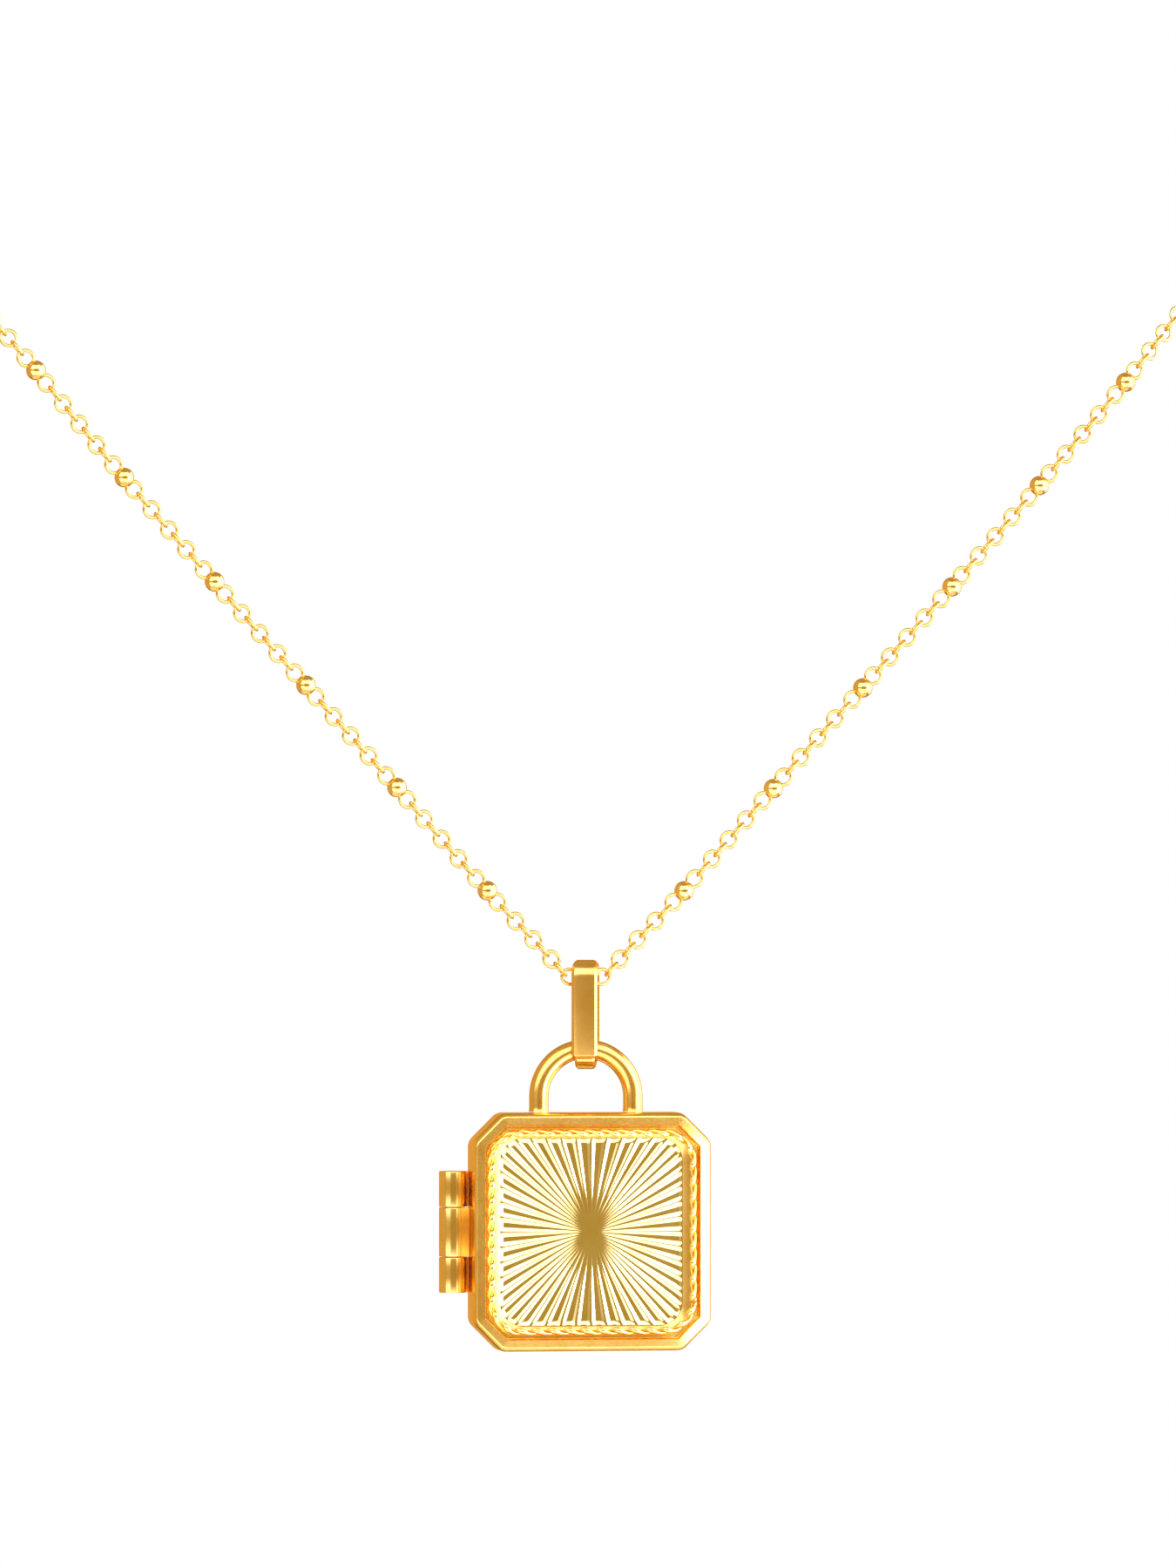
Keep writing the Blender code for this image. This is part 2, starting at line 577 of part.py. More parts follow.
def clasp(nape):
    """Lobster clasp: hook body, sprung lever on its pin, and the two rings that join it to the chain."""
    half = CLASP_THICKNESS / 2
    body = add("clasp_body", prism(hook_outline(), -half, half), gold("gold_clasp"), nape)
    slot = SLOT_WIDTH / 2
    low = LEVER_PIVOT.z - LEVER_HUB - LEVER_GAP
    room = LEVER_PIVOT.x - LEVER_HUB - LEVER_GAP
    cut(body, "cut_slot", box(room, SLOT_END, -slot, slot, low, HOOK_CENTRE + HOOK_OUTER))
    cut(body, "cut_pocket", box(POCKET_END, room + LEVER_GAP, -slot, slot, low, low + POCKET_HEIGHT))
    cut(body, "cut_eye", disc(TAIL_X, 0.0, TAIL_HOLE, 2 * half))
    cut(body, "cut_pivot", disc(LEVER_PIVOT.x, LEVER_PIVOT.z, CLASP_PIN_RADIUS + CLASP_PIN_FIT, 2 * half))

    lever_pivot = empty("lever_axis", (0.0, 0.0, 0.0))
    lever_pivot.parent = nape
    lever_pivot.location = LEVER_PIVOT
    thick = LEVER_THICKNESS / 2
    lever = add("clasp_lever", prism(lever_outline(), -thick, thick), gold("gold_lever"), lever_pivot)
    cut(lever, "cut_lever_bore", disc(0.0, 0.0, CLASP_PIN_RADIUS + PIN_CLEARANCE, 2 * half))
    pin = disc(0.0, 0.0, CLASP_PIN_RADIUS, half)
    add("clasp_pin", pin, gold("gold_clasp_pin", roughness=0.3), nape, LEVER_PIVOT)

    spring_z = low + POCKET_HEIGHT / 2
    hub_gap = math.sqrt((LEVER_HUB + LEVER_GAP) ** 2 - (LEVER_PIVOT.z - spring_z - SPRING_RADIUS) ** 2)
    start = POCKET_END + SPRING_WIRE / 2 + FIT
    length = LEVER_PIVOT.x - hub_gap - SPRING_WIRE - 2 * FIT - start
    path = []
    for k in range(SPRING_TURNS * 12 + 1):
        turn = 2 * math.pi * k / 12
        along = start + length * k / (SPRING_TURNS * 12)
        path.append((along, SPRING_RADIUS * math.cos(turn), spring_z + SPRING_RADIUS * math.sin(turn)))
    add("clasp_spring", tube(path, SPRING_WIRE / 2, 6), principled("steel", (0.6, 0.6, 0.6), 0.3, 1.0), nape)

    rings = (
        ("clasp_ring", TAIL_X - TAIL_RING_RADIUS, 0.0, TAIL_RING_RADIUS, TAIL_RING_WIRE),
        ("end_ring", END_RING_X, END_RING_Z, END_RING_RADIUS, END_RING_WIRE),
    )
    for name, x, z, radius, wire in rings:
        turns = [2 * math.pi * k / 32 for k in range(32)]
        path = [(radius * math.cos(t), radius * math.sin(t), 0.0) for t in turns]
        add(name, tube(path, wire / 2, 10, closed=True), gold("gold_" + name), nape, (x, 0.0, z))


def build():
    clear_scene()
    nape = empty("nape", (0.0, 0.0, 0.0))
    apex = empty("bail_axis", APEX)
    case = empty("case_centre", LOCKET)
    case_hinge = empty("case_hinge_axis", LOCKET + Vector((HINGE_X, 0.0, 0.0)))
    lid_hinge = empty("lid_hinge_axis", LOCKET + Vector((HINGE_X, 0.0, 0.0)))
    lid = empty("lid_centre", (-HINGE_X, 0.0, 0.0))
    lid.parent = lid_hinge
    bpy.context.view_layer.update()
    lid_frame(lid)
    rope_trim(lid)
    sunburst_plate(lid)
    case_back(case)
    case_rim(case)
    photo_pieces(lid, case)
    hinge(lid_hinge, case_hinge)
    shackle(case)
    bail(apex)
    chain(apex)
    clasp(nape)


build()
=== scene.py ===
import math

import bmesh
import bpy
from mathutils import Matrix, Vector

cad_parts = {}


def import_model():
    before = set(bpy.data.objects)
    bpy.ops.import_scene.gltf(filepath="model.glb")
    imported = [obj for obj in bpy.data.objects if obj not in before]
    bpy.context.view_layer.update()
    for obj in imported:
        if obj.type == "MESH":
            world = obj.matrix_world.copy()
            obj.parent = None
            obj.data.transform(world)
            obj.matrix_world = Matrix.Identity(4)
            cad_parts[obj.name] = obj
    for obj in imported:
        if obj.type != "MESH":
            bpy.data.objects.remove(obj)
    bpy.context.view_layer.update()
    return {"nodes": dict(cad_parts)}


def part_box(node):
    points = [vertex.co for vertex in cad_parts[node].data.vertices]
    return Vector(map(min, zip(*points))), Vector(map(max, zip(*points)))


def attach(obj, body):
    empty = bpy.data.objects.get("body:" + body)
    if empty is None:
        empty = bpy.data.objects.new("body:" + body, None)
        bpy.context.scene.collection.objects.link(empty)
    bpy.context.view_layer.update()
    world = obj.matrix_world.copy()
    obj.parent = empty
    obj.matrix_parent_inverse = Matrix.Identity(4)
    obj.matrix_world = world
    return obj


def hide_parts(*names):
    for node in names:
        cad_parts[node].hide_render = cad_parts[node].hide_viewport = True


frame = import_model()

MM = 0.001

# Places read from the frame
LID_LOW, LID_HIGH = (Vector(p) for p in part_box("lid_frame"))
CASE_LOW, CASE_HIGH = (Vector(p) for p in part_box("case_back"))
BAIL_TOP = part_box("bail")[1][2]
LINK_LOW, LINK_HIGH = (Vector(p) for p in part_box("bail_link"))
SHACKLE_LOW, SHACKLE_HIGH = (Vector(p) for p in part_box("shackle"))
PLATE_LOW, PLATE_HIGH = (Vector(p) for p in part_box("sunburst_plate"))
ROPE_LOW, ROPE_HIGH = (Vector(p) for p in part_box("rope_trim"))
PIN_LOW, PIN_HIGH = (Vector(p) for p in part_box("hinge_pin"))
APEX = (LINK_LOW + LINK_HIGH) / 2
LOCKET = Vector((APEX.x, (LID_HIGH.y + CASE_LOW.y) / 2, (LID_LOW.z + LID_HIGH.z) / 2))
WIDTH, HEIGHT = LID_HIGH.x - LID_LOW.x, LID_HIGH.z - LID_LOW.z

# Camera: on the photo's side of the locket, level with a point just above the bail
VIEW_AZIMUTH = math.radians(-9)
VIEW_DISTANCE = 550 * MM
VIEW_HEIGHT = 106.3 * MM  # how much of the pendant's plane the picture's height takes in
VIEW_RISE = 2.6 * MM  # the camera's axis above the link in the bail
VIEW_SHIFT, VIEW_SIDE = 0.098, 0.0014  # the lens moved up and sideways, in picture heights
SENSOR = 36.0
FLOOR_DROP = 190 * MM  # below the link in the bail
FLOOR_RADIUS = 160 * MM

# Locket front
CORNER_CUT = 1.95 * MM
CORNER_ROUND, CORNER_LEAST = 0.9 * MM, 0.05 * MM
OUTER_BEVEL = 0.3 * MM
OUTER_FALL = 1.0 * MM
RIDGE_WIDTH = 0.5 * MM
RIDGE_FALL = 0.044 * MM  # its top leans outwards
INNER_BEVEL = 0.12 * MM
SEAT_FALL = 0.65 * MM  # the rope's seat below the ridge
CORNER_STEPS = 6
BORDER_STEPS = 10
PLATE_CORNER = 1.5 * MM
PLATE_FIT = 0.06 * MM  # both sides together
COVE_LIP = 0.02 * MM  # the cove's edge above the panel
LEDGE_WIDTH, LEDGE_DEPTH = 1.0 * MM, 0.35 * MM
LEDGE_FIT = 0.03 * MM
LIP_SHARE, LIP_FALL = 0.35, 0.18  # a point part of the way down the inner bevel
WALL = 0.6 * MM
FLOOR = 0.5 * MM
BACK_BEVEL, BACK_FALL = 0.6 * MM, 1.7 * MM
BACK_BEND = 0.45  # share of both at which the taper bends
CASE_ROUNDING = 0.07 * MM
RAYS_PER_SIDE = 12
RAY_SAMPLES = 14
RAY_RINGS = 46
RAY_CROWD = 0.85  # under 1, the rings lie closer towards the edge
RAY_CREST = 0.22  # slope beside a ray's crest
RAY_FLANK = 0.55  # slope at its foot
RAY_FLAT = 0.4  # share of the ray that is the flat groove between two
RAY_NARROW = 0.45  # how much sooner they rise to the sides
RAY_END = 0.03  # share of the way across that the rays take to run out at the margin
RAY_START, RAY_FULL = 0.3 * MM, 3.6 * MM  # the rays rise out of the plain middle between these radii
DISH = 0.12 * MM
ROPE_DIAMETER = 0.55 * MM
ROPE_TURN = 2.22 * MM  # a strand's full turn
ROPE_STRAND = 0.135 * MM  # a strand's distance from the rope's middle
ROPE_FRONT, ROPE_REAR = 0.23 * MM, 0.085 * MM  # a strand's radius where it faces forwards and backwards
ROPE_LEAN = math.radians(-120)  # where round the rope a strand is fattest: -90 is the front, -180 the inside
ROPE_LUMP = 4.0  # how suddenly it swells
COVE_INSET = 2.2 * ROPE_STRAND  # from the rope's outside to the cove
ROPE_CORNER = 2.0 * MM
ROPE_STATIONS, ROPE_SIDES = 20, 12  # to a turn, and round a strand

# Hinge, shackle and bail
BARREL_RADIUS = 0.92 * MM
LEAF_NEAR, LEAF_FAR = 0.05 * MM, 0.72 * MM  # from the axis, towards the leaf's own half of the locket
KNUCKLE_ROUNDING = 0.09 * MM
PIN_FIT = 0.03 * MM
PIN_DOME, PIN_TIP = 0.12 * MM, 0.15  # the dome's height, and its flat tip as a share of the radius
DOME_STEPS = 4
ROUND_STEPS = 64
WIRE_SIDES = 32
SHACKLE_WIRE = 1.32 * MM
WELD_FLARE = 0.04 * MM
WELD_HEIGHT = 0.3 * MM
BAIL_WIDTH = 1.75 * MM
BAIL_LIP_WIDTH = 1.38 * MM
BAIL_STRAP = 0.42 * MM
BAIL_LIP_STEP = 0.12 * MM
BAIL_INNER_RADIUS = 1.1 * MM
BAIL_LEAF_END = 5.4 * MM
BAIL_LIP_BULGE = 0.2 * MM
BAIL_YAW = math.radians(-13)
BAIL_DROP = 5.81 * MM
BAIL_TOP_RADIUS = 0.7 * MM
BAIL_STEPS, BAIL_LOW_STEPS = 16, 28
BAIL_BEVEL, BAIL_BEVEL_FALL = 0.24, 0.34  # of the half width, and of the strap
BAIL_ROUNDING = 0.05 * MM
LEG_STEPS, ARCH_STEPS = 8, 48  # of the shackle
BAIL_CROWN = 0.14  # how much the strap narrows over the top
BAIL_EDGE = 0.08 * MM  # keeps the flat leaf flat up to its bends

# Chain
LINK_WIRE = 0.225 * MM
LINK_LONG = 1.34 * MM
LINK_WIDE = 1.24 * MM
LINK_PITCH = 0.889 * MM
BEAD_DIAMETER = 1.33 * MM
BEAD_PITCH = 1.08 * MM  # bead to the next link
LINKS_PER_BEAD = 10
ARM_LENGTH = 59.5 * MM
# Right-hand route from the link in the bail, (x, y, z) in metres: the free arm, then round the neck
APEX_ROUTE = [(0.0, 0.0, 0.0), (0.0012, 0.0, 0.0)]
ARM_ROUTE = [
    (0.0025, 0.0, 0.0013), (0.0037, 0.0, 0.0026), (0.007, 0.0, 0.00605), (0.01315, 0.0, 0.013),
    (0.0194, 0.0, 0.01995), (0.0257, 0.0, 0.027), (0.0325, 0.0, 0.0348), (0.039, 0.0, 0.0426),
]
NECK_ROUTE = [
    (0.0455, 0.0045, 0.0505), (0.051, 0.014, 0.0585), (0.054, 0.03, 0.068), (0.054, 0.05, 0.078),
    (0.05, 0.072, 0.087), (0.039, 0.092, 0.094), (0.022, 0.106, 0.0986),
]


# Surfaces, meshing, chain steps, small pieces and the studio
GOLD = (0.96, 0.63, 0.21)
STEEL = (0.62, 0.62, 0.6)
EDGE_TINT = (1.0, 0.72, 0.34)  # of the metal's reflection at a grazing angle
DARK_TONE, LIGHT_TONE = (0.93, 0.88, 0.75), (1.04, 1.06, 1.15)  # how far the colour drifts either way
DRIFT_EDGES = (0.3, 0.7)
POLISH_RANGE = (0.7, 1.4)  # times the roughness
SCRATCH_DEPTH = 0.004 * MM
ACETATE = (0.97, 0.98, 0.98)
ACETATE_IOR = 1.48
ACETATE_HAZE = (0.02, 0.09)

ROUNDING_STEPS = 3
FLAT_ANGLE = math.radians(1)  # faces this close to level are merged
SAME_PLACE = 1e-8

LINE_STEP = 0.05 * MM  # between the points that the links are placed on
CURVE_STEPS = 40
NAPE_DROP = -0.75 * MM  # height of the end ring, where the right half ends

CLASP_ROUNDING, LEVER_ROUNDING, RIM_ROUNDING = 0.14 * MM, 0.08 * MM, 0.05 * MM
RING_WIRES = {"clasp_ring": 0.5 * MM, "end_ring": 0.6 * MM}
RING_SIDES = 16
BARE_NODES = {"case_photo_window": "acetate", "lid_photo_window": "acetate", "clasp_pin": "retainer",
              "clasp_spring": "steel"}

CLIP = (0.01, 20.0)
FLOOR_SIDES = 96
FLOOR_BACK = 0.05  # its centre behind the link in the bail
FLOOR_TINT, FLOOR_ROUGHNESS = (0.86, 0.86, 0.85), 0.9
# The studio round the necklace: azimuth and its half width, elevation and its half width, soft edge (all in
# degrees), strength and colour. Azimuth 0 is in front of the locket and grows to its right. Later zones cover
# earlier ones.
ZONES = (
    (-110, 60, 0, 62, 20, 0.7, (1.0, 0.72, 0.32)),
    (180, 40, 0, 70, 12, 0.8, (1.0, 0.72, 0.32)),
    (0, 66, 33, 24, 8, 2.6, (1.0, 0.99, 0.92)),
    (0, 66, -33, 24, 8, 2.3, (1.0, 0.98, 0.9)),
    (-54, 26, 0, 7, 5, 0.6, (1.0, 0.74, 0.32)),
    (82, 40, 0, 36, 8, 5.5, (1.0, 1.0, 0.97)),
    (90, 8, 0, 36, 4, 0.9, (1.0, 0.86, 0.6)),
    (0, 26, 0, 16, 6, 0.45, (1.0, 0.72, 0.2)),
    (180, 40, 42, 22, 12, 0.5, (1.0, 0.78, 0.36)),
    (180, 40, -42, 22, 12, 0.33, (1.0, 0.76, 0.34)),
)
AMBIENT = (0.5, 0.38, 0.2)
CARD_SIZE = (6.4 * MM, 18 * MM)
CARD_PLACE = (12.8 * MM, -12.3 * MM, -1.5 * MM)  # from the locket
CARD_WATTS = 0.0033
CARD_TINT = (1.0, 1.0, 0.96)


# ---------------------------------------------------------------- materials


def node_maker(tree):
    """A function that adds a node to the tree and sets its properties or inputs by name."""
    def make(kind, **values):
        node = tree.nodes.new(kind)
        for name, value in values.items():
            if hasattr(node, name):
                setattr(node, name, value)
            else:
                node.inputs[name.replace("_", " ")].default_value = value
        return node
    return make


def tinted(colour, tone):
    """A colour with each channel scaled, as red, green, blue and alpha."""
    return (*(min(c * t, 1.0) for c, t in zip(colour, tone)), 1.0)


def gold(name, colour, roughness, patch=600.0, grain=9000.0, bump=0.12, stretch=(1.0, 1.0, 1.0)):
    """Plated gold: tone that drifts over the piece, polish that varies, and fine scratches."""
    material = bpy.data.materials.new(name)
    material.use_nodes = True
    tree = material.node_tree
    make = node_maker(tree)
    shader = tree.nodes["Principled BSDF"]
    shader.inputs["Metallic"].default_value = 1.0
    shader.inputs["Specular Tint"].default_value = (*EDGE_TINT, 1.0)
    place = make("ShaderNodeTexCoord")
    drift = make("ShaderNodeTexNoise", Scale=patch, Detail=3.0)
    tree.links.new(place.outputs["Object"], drift.inputs["Vector"])
    tone = make("ShaderNodeValToRGB")
    for stop, edge, shift in zip(tone.color_ramp.elements, DRIFT_EDGES, (DARK_TONE, LIGHT_TONE)):
        stop.position = edge
        stop.color = tinted(colour, shift)
    tree.links.new(drift.outputs["Fac"], tone.inputs["Fac"])
    tree.links.new(tone.outputs["Color"], shader.inputs["Base Color"])

    turned = make("ShaderNodeMapping")
    turned.inputs["Scale"].default_value = stretch
    tree.links.new(place.outputs["Object"], turned.inputs["Vector"])
    marks = make("ShaderNodeTexNoise", Scale=grain, Detail=4.0)
    tree.links.new(turned.outputs["Vector"], marks.inputs["Vector"])
    polish = make("ShaderNodeMapRange")
    polish.inputs["To Min"].default_value = roughness * POLISH_RANGE[0]
    polish.inputs["To Max"].default_value = roughness * POLISH_RANGE[1]
    tree.links.new(marks.outputs["Fac"], polish.inputs["Value"])
    tree.links.new(polish.outputs["Result"], shader.inputs["Roughness"])

    relief = make("ShaderNodeBump")
    relief.inputs["Strength"].default_value = bump
    relief.inputs["Distance"].default_value = SCRATCH_DEPTH
    tree.links.new(marks.outputs["Fac"], relief.inputs["Height"])
    tree.links.new(relief.outputs["Normal"], shader.inputs["Normal"])
    return material


def clear_acetate():
    """Clear plastic sheet with faint haze."""
    material = bpy.data.materials.new("clear_acetate")
    material.use_nodes = True
    tree = material.node_tree
    make = node_maker(tree)
    shader = tree.nodes["Principled BSDF"]
    shader.inputs["Base Color"].default_value = (*ACETATE, 1.0)
    shader.inputs["Transmission Weight"].default_value = 1.0
    shader.inputs["IOR"].default_value = ACETATE_IOR
    place = make("ShaderNodeTexCoord")
    haze = make("ShaderNodeTexNoise", Scale=500.0, Detail=2.0)
    tree.links.new(place.outputs["Object"], haze.inputs["Vector"])
    polish = make("ShaderNodeMapRange")
    polish.inputs["To Min"].default_value, polish.inputs["To Max"].default_value = ACETATE_HAZE
    tree.links.new(haze.outputs["Fac"], polish.inputs["Value"])
    tree.links.new(polish.outputs["Result"], shader.inputs["Roughness"])
    return material


MATERIALS = {
    "border": gold("gold_border", GOLD, 0.22),
    # The rope's gold is a lighter copy of the plated gold, so its highlights come out cream: painted
    # highlight.
    "rope": gold("gold_rope", (1.0, 0.66, 0.26), 0.1),
    # The rays' gold is a much lighter copy of the plated gold, so the rays read cream and white: painted
    # highlight.
    "sunburst": gold("gold_sunburst", (1.0, 0.78, 0.4), 0.11, grain=14000.0, bump=0.2),
    "case": gold("gold_case", GOLD, 0.14),
    # The bail's and the shackle's gold is a darker copy of the plated gold, so they read brown: painted
    # shade.
    "bail": gold("gold_bail", (0.9, 0.56, 0.17), 0.2, grain=12000.0, bump=0.3),
    "chain": gold("gold_chain", (0.98, 0.66, 0.24), 0.14),
    "clasp": gold("gold_clasp", GOLD, 0.17),
    "retainer": gold("gold_retainer", GOLD, 0.3, bump=0.3),
    "acetate": clear_acetate(),
    "steel": gold("spring_steel", STEEL, 0.28, stretch=(1.0, 0.2, 1.0)),
}


# ---------------------------------------------------------------- mesh tools


def loft(rings, closed=False):
    """A closed body through rings of equal length, its ends capped unless the rings close on themselves."""
    bm = bmesh.new()
    loops = [[bm.verts.new(p) for p in ring] for ring in rings]
    count = len(loops[0])
    pairs = list(zip(loops, loops[1:]))
    if closed:
        pairs.append((loops[-1], loops[0]))
    for near, far in pairs:
        for i in range(count):
            j = (i + 1) % count
            bm.faces.new((near[i], near[j], far[j], far[i]))
    if not closed:
        bm.faces.new(loops[0])
        bm.faces.new(list(reversed(loops[-1])))
    return bm


def join(bm, other):
    """Adds one bmesh's geometry to another's."""
    mesh = bpy.data.meshes.new("part")
    other.to_mesh(mesh)
    other.free()
    bm.from_mesh(mesh)
    bpy.data.meshes.remove(mesh)


def piece(name, bm, material, body, replaces, bevel=0.0, sharp=35.0):
    """A shown piece from a bmesh in the frame's own coordinates."""
    bmesh.ops.recalc_face_normals(bm, faces=bm.faces)
    mesh = bpy.data.meshes.new(name)
    bm.to_mesh(mesh)
    bm.free()
    mesh.shade_smooth()
    mesh.materials.append(MATERIALS[material])
    made = bpy.data.objects.new(name, mesh)
    bpy.context.collection.objects.link(made)
    if bevel:
        rounding = made.modifiers.new("rounding", "BEVEL")
        rounding.width = bevel
        rounding.segments = ROUNDING_STEPS
        rounding.limit_method = "ANGLE"
        rounding.angle_limit = math.radians(sharp)
    else:
        mesh.set_sharp_from_angle(angle=math.radians(sharp))
    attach(made, body)
    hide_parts(*replaces)
    return made


def swept(path, radii, sides, closed=False):
    """Round sections along a path, carried from one to the next without twisting."""
    path = [Vector(p) for p in path]
    count = len(path)
    if not hasattr(radii, "__len__"):
        radii = [radii] * count
    ways = []
    for i in range(count):
        after = path[(i + 1) % count] if closed or i + 1 < count else path[i]
        before = path[i - 1] if closed or i else path[i]
        ways.append((after - before).normalized())
    side = ways[0].orthogonal()
    rings = []
    for point, way, radius in zip(path, ways, radii):
        side = (side - way * side.dot(way)).normalized()
        up = way.cross(side)
        turns = [2 * math.pi * k / sides for k in range(sides)]
        rings.append([point + radius * (math.cos(t) * side + math.sin(t) * up) for t in turns])
    return rings


def softened(node, material, body, bevel):
    """A CAD node's own shape with its flat faces merged again and its edges rounded."""
    bm = bmesh.new()
    bm.from_mesh(frame["nodes"][node].data)
    bmesh.ops.remove_doubles(bm, verts=bm.verts, dist=SAME_PLACE)
    bmesh.ops.dissolve_limit(bm, angle_limit=FLAT_ANGLE, verts=bm.verts, edges=bm.edges)
    piece(node + "_rounded", bm, material, body, (node,), bevel)


# ---------------------------------------------------------------- locket


def octagon(inset, y):
    """The locket's outline with softened corners, moved inwards by inset, y behind the parting plane."""
    w, h = WIDTH / 2 - inset, HEIGHT / 2 - inset
    cut = CORNER_CUT - inset * (2 - math.sqrt(2))
    fillet = max(CORNER_ROUND - inset, CORNER_LEAST)
    reach = [w, (w + h - cut) / math.sqrt(2), h, (w + h - cut) / math.sqrt(2)] * 2
    points = []
    for k in range(8):
        a, b = math.radians(45 * k), math.radians(45 * (k + 1))
        p, q = reach[k] - fillet, reach[(k + 1) % 8] - fillet
        turn = math.sin(b - a)
        x = (p * math.sin(b) - q * math.sin(a)) / turn
        z = (q * math.cos(a) - p * math.cos(b)) / turn
        for j in range(CORNER_STEPS):
            t = a + (b - a) * j / (CORNER_STEPS - 1)
            points.append(LOCKET + Vector((x + fillet * math.cos(t), y, z + fillet * math.sin(t))))
    return points


def round_square(width, height, corner, y, steps=2 * CORNER_STEPS):
    """A rounded rectangle with as many points as the locket's outline."""
    points = []
    for k, (sx, sz) in enumerate(((1, 1), (-1, 1), (-1, -1), (1, -1))):
        x, z = sx * (width / 2 - corner), sz * (height / 2 - corner)
        for j in range(steps):
            t = math.radians(90 * k + 90 * j / (steps - 1))
            points.append(LOCKET + Vector((x + corner * math.cos(t), y, z + corner * math.sin(t))))
    return points


def lid_border():
    """Side wall, steep outer bevel, flat ridge, inner bevel, rope seat, cove and the panel's ledge."""
    front = LID_LOW.y - LOCKET.y
    parting = LID_HIGH.y - LOCKET.y
    ridge = OUTER_BEVEL + RIDGE_WIDTH
    seat = ridge + INNER_BEVEL
    seat_y = front + SEAT_FALL
    plate_w, plate_h = PLATE_HIGH.x - PLATE_LOW.x, PLATE_HIGH.z - PLATE_LOW.z
    ledge_front = PLATE_HIGH.y - LOCKET.y + LEDGE_FIT
    ledge_back = ledge_front + LEDGE_DEPTH
    cove_w = (ROPE_HIGH.x - ROPE_LOW.x) - 2 * COVE_INSET
    cove_h = (ROPE_HIGH.z - ROPE_LOW.z) - 2 * COVE_INSET
    plate_y = PLATE_LOW.y - LOCKET.y
    crown = []
    for k in range(BORDER_STEPS + 1):
        t = math.pi / 2 * k / BORDER_STEPS
        inset = OUTER_BEVEL * (1 - math.cos(t))
        crown.append(octagon(inset, front + RIDGE_FALL + (OUTER_FALL - RIDGE_FALL) * (1 - math.sin(t))))
    for k in range(1, BORDER_STEPS + 1):
        share = k / BORDER_STEPS
        crown.append(octagon(OUTER_BEVEL + RIDGE_WIDTH * share, front + RIDGE_FALL * (1 - share)))
    rings = [
        octagon(0.0, parting),
        *crown,
        octagon(ridge + INNER_BEVEL * LIP_SHARE, front + SEAT_FALL * LIP_FALL),
        octagon(seat, seat_y),
        round_square(cove_w, cove_h, ROPE_CORNER - COVE_INSET, seat_y),
        round_square(plate_w + PLATE_FIT, plate_h + PLATE_FIT, PLATE_CORNER, plate_y - COVE_LIP),
        round_square(plate_w + PLATE_FIT, plate_h + PLATE_FIT, PLATE_CORNER, ledge_front),
        round_square(plate_w - 2 * LEDGE_WIDTH, plate_h - 2 * LEDGE_WIDTH, PLATE_CORNER, ledge_front),
        round_square(plate_w - 2 * LEDGE_WIDTH, plate_h - 2 * LEDGE_WIDTH, PLATE_CORNER, ledge_back),
        octagon(WALL, ledge_back),
        octagon(WALL, parting),
    ]
    piece("lid_border", loft(rings, closed=True), "border", "lid", ("lid_frame",))


def ray_turn(phase):
    """The direction, from the +X axis, of a place counted in rays, their ends evenly spaced on a square."""
    quarter, rest = divmod(phase, RAYS_PER_SIDE)
    part = rest / (RAYS_PER_SIDE / 2)
    turn = math.atan(part) if part <= 1 else math.pi / 2 - math.atan(2 - part)
    return quarter * math.pi / 2 + turn


def edge_distance(turn, width, height, corner):
    """From the middle to a rounded rectangle's edge in this direction."""
    c, s = abs(math.cos(turn)), abs(math.sin(turn))
    far = min(width / 2 / max(c, 1e-9), height / 2 / max(s, 1e-9))
    x0, z0 = width / 2 - corner, height / 2 - corner
    if far * c > x0 and far * s > z0:
        along = c * x0 + s * z0
        off = along * along - (x0 * x0 + z0 * z0 - corner * corner)
        far = along + math.sqrt(max(off, 0.0))
    return far


def sunburst():
    """Crested rays with flat grooves between them, on a shallow dish, running out at the edge."""
    width, height = PLATE_HIGH.x - PLATE_LOW.x, PLATE_HIGH.z - PLATE_LOW.z
    front, back = PLATE_LOW.y, PLATE_HIGH.y
    around = 4 * RAYS_PER_SIDE * RAY_SAMPLES
    bm = bmesh.new()
    middle = bm.verts.new((LOCKET.x, front + DISH, LOCKET.z))
    loops = []
    places = []
    for i in range(around):
        phase = i / RAY_SAMPLES
        turn = ray_turn(phase)
        wide = ray_turn(math.floor(phase) + 1) - ray_turn(math.floor(phase))
        places.append((turn, (phase + 0.5) % 1.0, wide, edge_distance(turn, width, height, PLATE_CORNER)))
    for k in range(1, RAY_RINGS + 1):
        t = (k / RAY_RINGS) ** RAY_CROWD
        loop = []
        for turn, share, wide, edge in places:
            far = t * edge
            off = min(abs(2 * share - 1) / (1 - RAY_FLAT), 1.0)
            drop = (1 - RAY_FLAT) * (RAY_CREST * off + (RAY_FLANK - RAY_CREST) / 2 * off * off) / 2
            margin = min(1.0, max(0.0, (1 - t) / RAY_END))
            full = RAY_FULL * (RAY_NARROW + (1 - RAY_NARROW) * abs(math.sin(turn)))
            rise = min(1.0, max(0.0, (far - RAY_START) / (full - RAY_START)))
            dish = DISH * (1 - t * t)
            y = front + dish + drop * wide * far * margin * rise
            loop.append(bm.verts.new((LOCKET.x + far * math.cos(turn), y, LOCKET.z + far * math.sin(turn))))
        loops.append(loop)
    rim = [bm.verts.new((v.co.x, back, v.co.z)) for v in loops[-1]]
    loops.append(rim)
    for i in range(around):
        j = (i + 1) % around
        bm.faces.new((middle, loops[0][i], loops[0][j]))
        for near, far in zip(loops, loops[1:]):
            bm.faces.new((near[i], far[i], far[j], near[j]))
    bm.faces.new(rim)
    piece("sunburst_rays", bm, "sunburst", "lid", ("sunburst_plate",), sharp=50)


